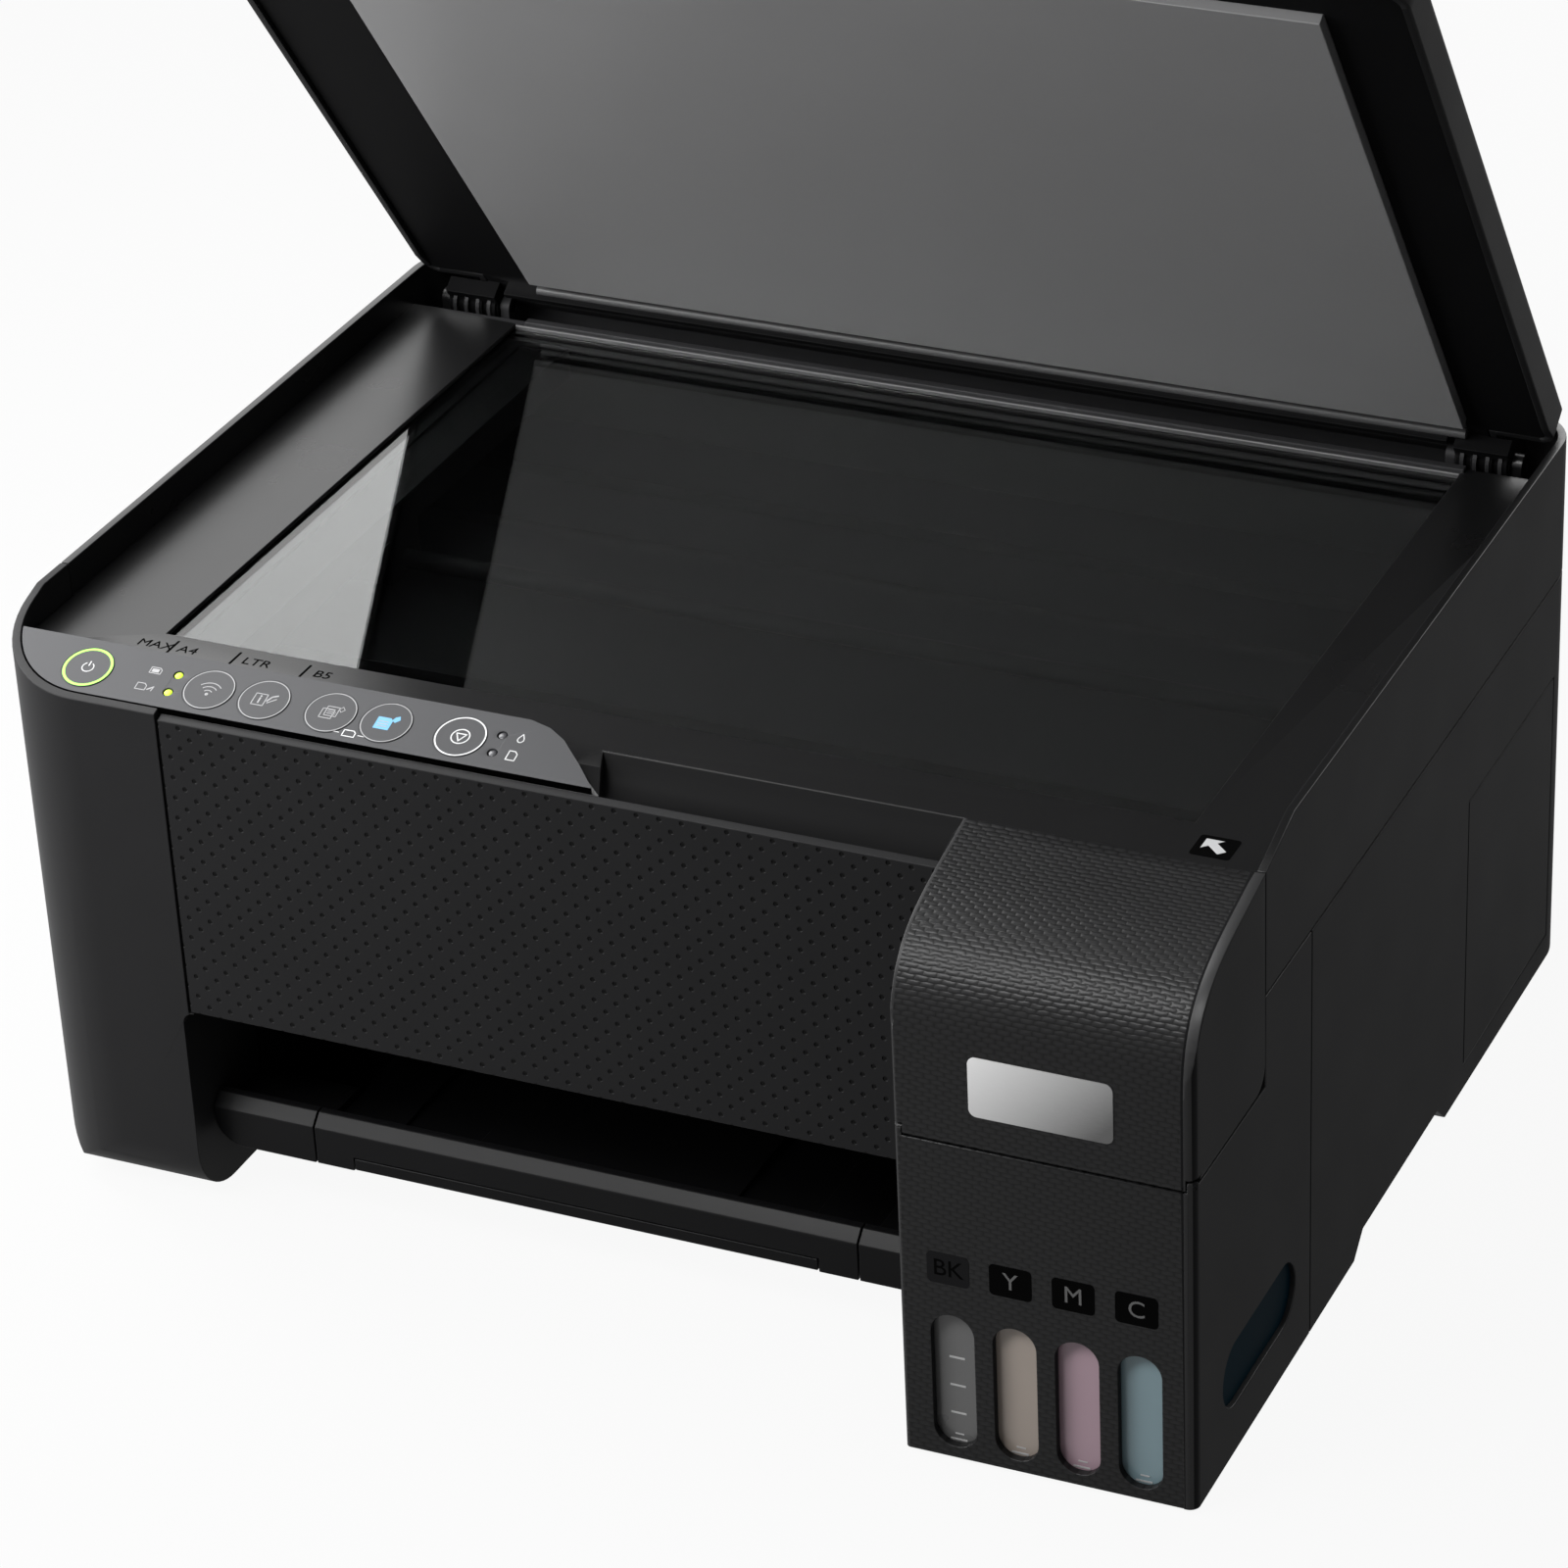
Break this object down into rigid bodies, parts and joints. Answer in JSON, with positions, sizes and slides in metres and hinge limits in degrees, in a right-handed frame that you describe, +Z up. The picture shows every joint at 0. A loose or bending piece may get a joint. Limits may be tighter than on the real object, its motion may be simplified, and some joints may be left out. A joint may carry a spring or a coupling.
{
  "type": "inkjet printer",
  "caption": "Black ink-tank inkjet printer with a flatbed scanner, its lid open, a sloping button panel, an output tray, level windows and a rear paper feeder.",
  "frame": {"origin": "on the floor under the centre of the printer's box", "axes": "+X to the printer's right seen from the front, +Y towards its rear, +Z up"},
  "size_m": [0.375, 0.347, 0.3703],
  "materials": {
    "body_black": "fine satin grain",
    "front_dimpled": "dimpled satin",
    "tank_grain": "woven grain",
    "deck_black": "satin",
    "lid_black": "fine grain",
    "inner_black": "satin",
    "tray_black": "satin",
    "panel_grey": "satin metallic grey",
    "pad_grey": "smooth film over foam",
    "glass": "polished",
    "ink_black": "translucent, empty",
    "ink_yellow": "translucent, empty",
    "ink_magenta": "translucent, empty",
    "ink_cyan": "translucent, empty",
    "cap_black": "soft",
    "cap_yellow": "soft",
    "cap_magenta": "soft",
    "cap_cyan": "soft",
    "rubber": "matte",
    "steel": "bright",
    "roller_steel": "ground shaft with rubber sleeves and a nylon gear",
    "nylon": "natural",
    "board_green": "lacquered",
    "supply_black": "satin"
  },
  "bodies": {
    "base": {"base_pan": "inner_black", "rubber_feet": "rubber", "left_cover": "body_black", "right_cover": "body_black", "service_cover": "body_black", "rear_cover": "body_black", "front_panel": "front_dimpled", "front_sill": "tray_black", "tank_housing": "tank_grain", "ink_tank_black": "ink_black", "ink_tank_yellow": "ink_yellow", "ink_tank_magenta": "ink_magenta", "ink_tank_cyan": "ink_cyan", "star_wheels": "inner_black", "feed_motor": "steel", "paper_platen": "inner_black", "main_frame": "steel", "carriage_belt": "rubber", "carriage_motor": "steel", "ink_tubes": "supply_black", "maintenance_station": "inner_black", "main_board": "board_green", "power_supply": "supply_black", "mains_inlet": "supply_black", "usb_socket": "steel", "rear_feeder": "body_black", "scanner_hinges": "steel"},
    "scanner_unit": {"scanner_top": "deck_black", "scanner_tub": "inner_black", "platen_glass": "glass", "control_panel": "panel_grey"},
    "lid": {"lid_shell": "lid_black", "lid_inner": "inner_black", "lid_pad": "pad_grey"},
    "scan_carriage": {"scan_carriage": "inner_black"},
    "tank_cover": {"tank_cover": "tank_grain"},
    "output_tray": {"output_tray": "tray_black"},
    "tray_extension": {"tray_extension": "tray_black"},
    "exit_roller": {"exit_roller": "roller_steel"},
    "feed_roller": {"feed_roller": "roller_steel"},
    "idler_gear": {"idler_gear": "nylon"},
    "motor_pinion": {"motor_pinion": "nylon"},
    "pickup_roller": {"pickup_roller": "roller_steel"},
    "print_carriage": {"print_carriage": "inner_black"},
    "drive_pulley": {"drive_pulley": "nylon"},
    "idler_pulley": {"idler_pulley": "nylon"},
    "paper_support": {"paper_support": "body_black"},
    "feeder_flap": {"feeder_flap": "body_black"},
    "edge_guide_left": {"edge_guide_left": "tray_black"},
    "edge_guide_right": {"edge_guide_right": "tray_black"},
    "power_button": {"power_button": "panel_grey"},
    "network_button": {"network_button": "panel_grey"},
    "status_button": {"status_button": "panel_grey"},
    "mono_copy_button": {"mono_copy_button": "panel_grey"},
    "colour_copy_button": {"colour_copy_button": "panel_grey"},
    "stop_button": {"stop_button": "panel_grey"},
    "filler_cap_black": {"filler_cap_black": "cap_black"},
    "filler_cap_yellow": {"filler_cap_yellow": "cap_yellow"},
    "filler_cap_magenta": {"filler_cap_magenta": "cap_magenta"},
    "filler_cap_cyan": {"filler_cap_cyan": "cap_cyan"}
  },
  "joints": [
    {"name": "scanner_hinge", "type": "hinge", "parent": "base", "child": "scanner_unit", "pos_m": [0, 0.138, 0.1399], "axis": [-1, 0, 0], "range_deg": [0, 35]},
    {"name": "lid_hinge", "type": "hinge", "parent": "scanner_unit", "child": "lid", "pos_m": [0, 0.134, 0.163], "axis": [-1, 0, 0], "range_deg": [-53.7, 3]},
    {"name": "scan_slide", "type": "slide", "parent": "scanner_unit", "child": "scan_carriage", "axis": [1, 0, 0], "range_m": [0, 0.29]},
    {"name": "power_button_press", "type": "slide", "parent": "scanner_unit", "child": "power_button", "axis": [0, 0.2961, -0.9552], "range_m": [0, 0.0005], "stiffness_N_per_m": 300, "springref_m": -0.0005},
    {"name": "network_button_press", "type": "slide", "parent": "scanner_unit", "child": "network_button", "axis": [0, 0.2961, -0.9552], "range_m": [0, 0.0005], "stiffness_N_per_m": 300, "springref_m": -0.0005},
    {"name": "status_button_press", "type": "slide", "parent": "scanner_unit", "child": "status_button", "axis": [0, 0.2961, -0.9552], "range_m": [0, 0.0005], "stiffness_N_per_m": 300, "springref_m": -0.0005},
    {"name": "mono_copy_button_press", "type": "slide", "parent": "scanner_unit", "child": "mono_copy_button", "axis": [0, 0.2961, -0.9552], "range_m": [0, 0.0005], "stiffness_N_per_m": 300, "springref_m": -0.0005},
    {"name": "colour_copy_button_press", "type": "slide", "parent": "scanner_unit", "child": "colour_copy_button", "axis": [0, 0.2961, -0.9552], "range_m": [0, 0.0005], "stiffness_N_per_m": 300, "springref_m": -0.0005},
    {"name": "stop_button_press", "type": "slide", "parent": "scanner_unit", "child": "stop_button", "axis": [0, 0.2961, -0.9552], "range_m": [0, 0.0005], "stiffness_N_per_m": 300, "springref_m": -0.0005},
    {"name": "tank_cover_hinge", "type": "hinge", "parent": "base", "child": "tank_cover", "pos_m": [0.1457, -0.1719, 0.103], "axis": [1, 0, 0], "range_deg": [0, 80]},
    {"name": "filler_cap_black_pull", "type": "slide", "parent": "base", "child": "filler_cap_black", "axis": [0, 0, 1], "range_m": [0, 0.02]},
    {"name": "filler_cap_yellow_pull", "type": "slide", "parent": "base", "child": "filler_cap_yellow", "axis": [0, 0, 1], "range_m": [0, 0.02]},
    {"name": "filler_cap_magenta_pull", "type": "slide", "parent": "base", "child": "filler_cap_magenta", "axis": [0, 0, 1], "range_m": [0, 0.02]},
    {"name": "filler_cap_cyan_pull", "type": "slide", "parent": "base", "child": "filler_cap_cyan", "axis": [0, 0, 1], "range_m": [0, 0.02]},
    {"name": "tray_slide", "type": "slide", "parent": "base", "child": "output_tray", "axis": [0, -1, 0], "range_m": [0, 0.1]},
    {"name": "extension_slide", "type": "slide", "parent": "output_tray", "child": "tray_extension", "axis": [0, -1, 0], "range_m": [0, 0.09]},
    {"name": "feed_roller_spin", "type": "hinge", "parent": "base", "child": "feed_roller", "pos_m": [0, -0.038, 0.0475], "axis": [1, 0, 0], "continuous": true},
    {"name": "idler_gear_spin", "type": "hinge", "parent": "base", "child": "idler_gear", "pos_m": [-0.1405, -0.069, 0.0475], "axis": [1, 0, 0], "continuous": true},
    {"name": "exit_roller_spin", "type": "hinge", "parent": "base", "child": "exit_roller", "pos_m": [0, -0.092, 0.0475], "axis": [1, 0, 0], "continuous": true},
    {"name": "motor_pinion_spin", "type": "hinge", "parent": "base", "child": "motor_pinion", "pos_m": [-0.1405, -0.038, 0.0215], "axis": [1, 0, 0], "continuous": true},
    {"name": "pickup_roller_spin", "type": "hinge", "parent": "base", "child": "pickup_roller", "pos_m": [0, 0.1065, 0.064], "axis": [1, 0, 0], "continuous": true},
    {"name": "carriage_slide", "type": "slide", "parent": "base", "child": "print_carriage", "axis": [-1, 0, 0], "range_m": [0, 0.222]},
    {"name": "drive_pulley_spin", "type": "hinge", "parent": "base", "child": "drive_pulley", "pos_m": [0.1635, -0.019, 0.09], "axis": [0, 1, 0], "range_deg": [-5, 1890]},
    {"name": "idler_pulley_spin", "type": "hinge", "parent": "base", "child": "idler_pulley", "pos_m": [-0.1355, -0.019, 0.09], "axis": [0, 1, 0], "range_deg": [-5, 1890]},
    {"name": "paper_support_slide", "type": "slide", "parent": "base", "child": "paper_support", "axis": [0, 0, 1], "range_m": [0, 0.075]},
    {"name": "feeder_flap_hinge", "type": "hinge", "parent": "base", "child": "feeder_flap", "pos_m": [-0.014, 0.1515, 0.1249], "axis": [1, 0, 0], "range_deg": [0, 85]},
    {"name": "edge_guide_left_slide", "type": "slide", "parent": "base", "child": "edge_guide_left", "axis": [1, 0, 0], "range_m": [0, 0.06]},
    {"name": "edge_guide_right_slide", "type": "slide", "parent": "base", "child": "edge_guide_right", "axis": [-1, 0, 0], "range_m": [0, 0.06]}
  ],
  "couplings": [
    {"joint": "idler_gear_spin", "follows": "feed_roller_spin", "ratio": -1.8182},
    {"joint": "exit_roller_spin", "follows": "feed_roller_spin", "ratio": 1.6667},
    {"joint": "motor_pinion_spin", "follows": "feed_roller_spin", "ratio": -3.3333},
    {"joint": "drive_pulley_spin", "follows": "carriage_slide", "rad_per_m": 148.15},
    {"joint": "idler_pulley_spin", "follows": "carriage_slide", "rad_per_m": 148.15},
    {"joint": "edge_guide_right_slide", "follows": "edge_guide_left_slide", "ratio": 1}
  ]
}
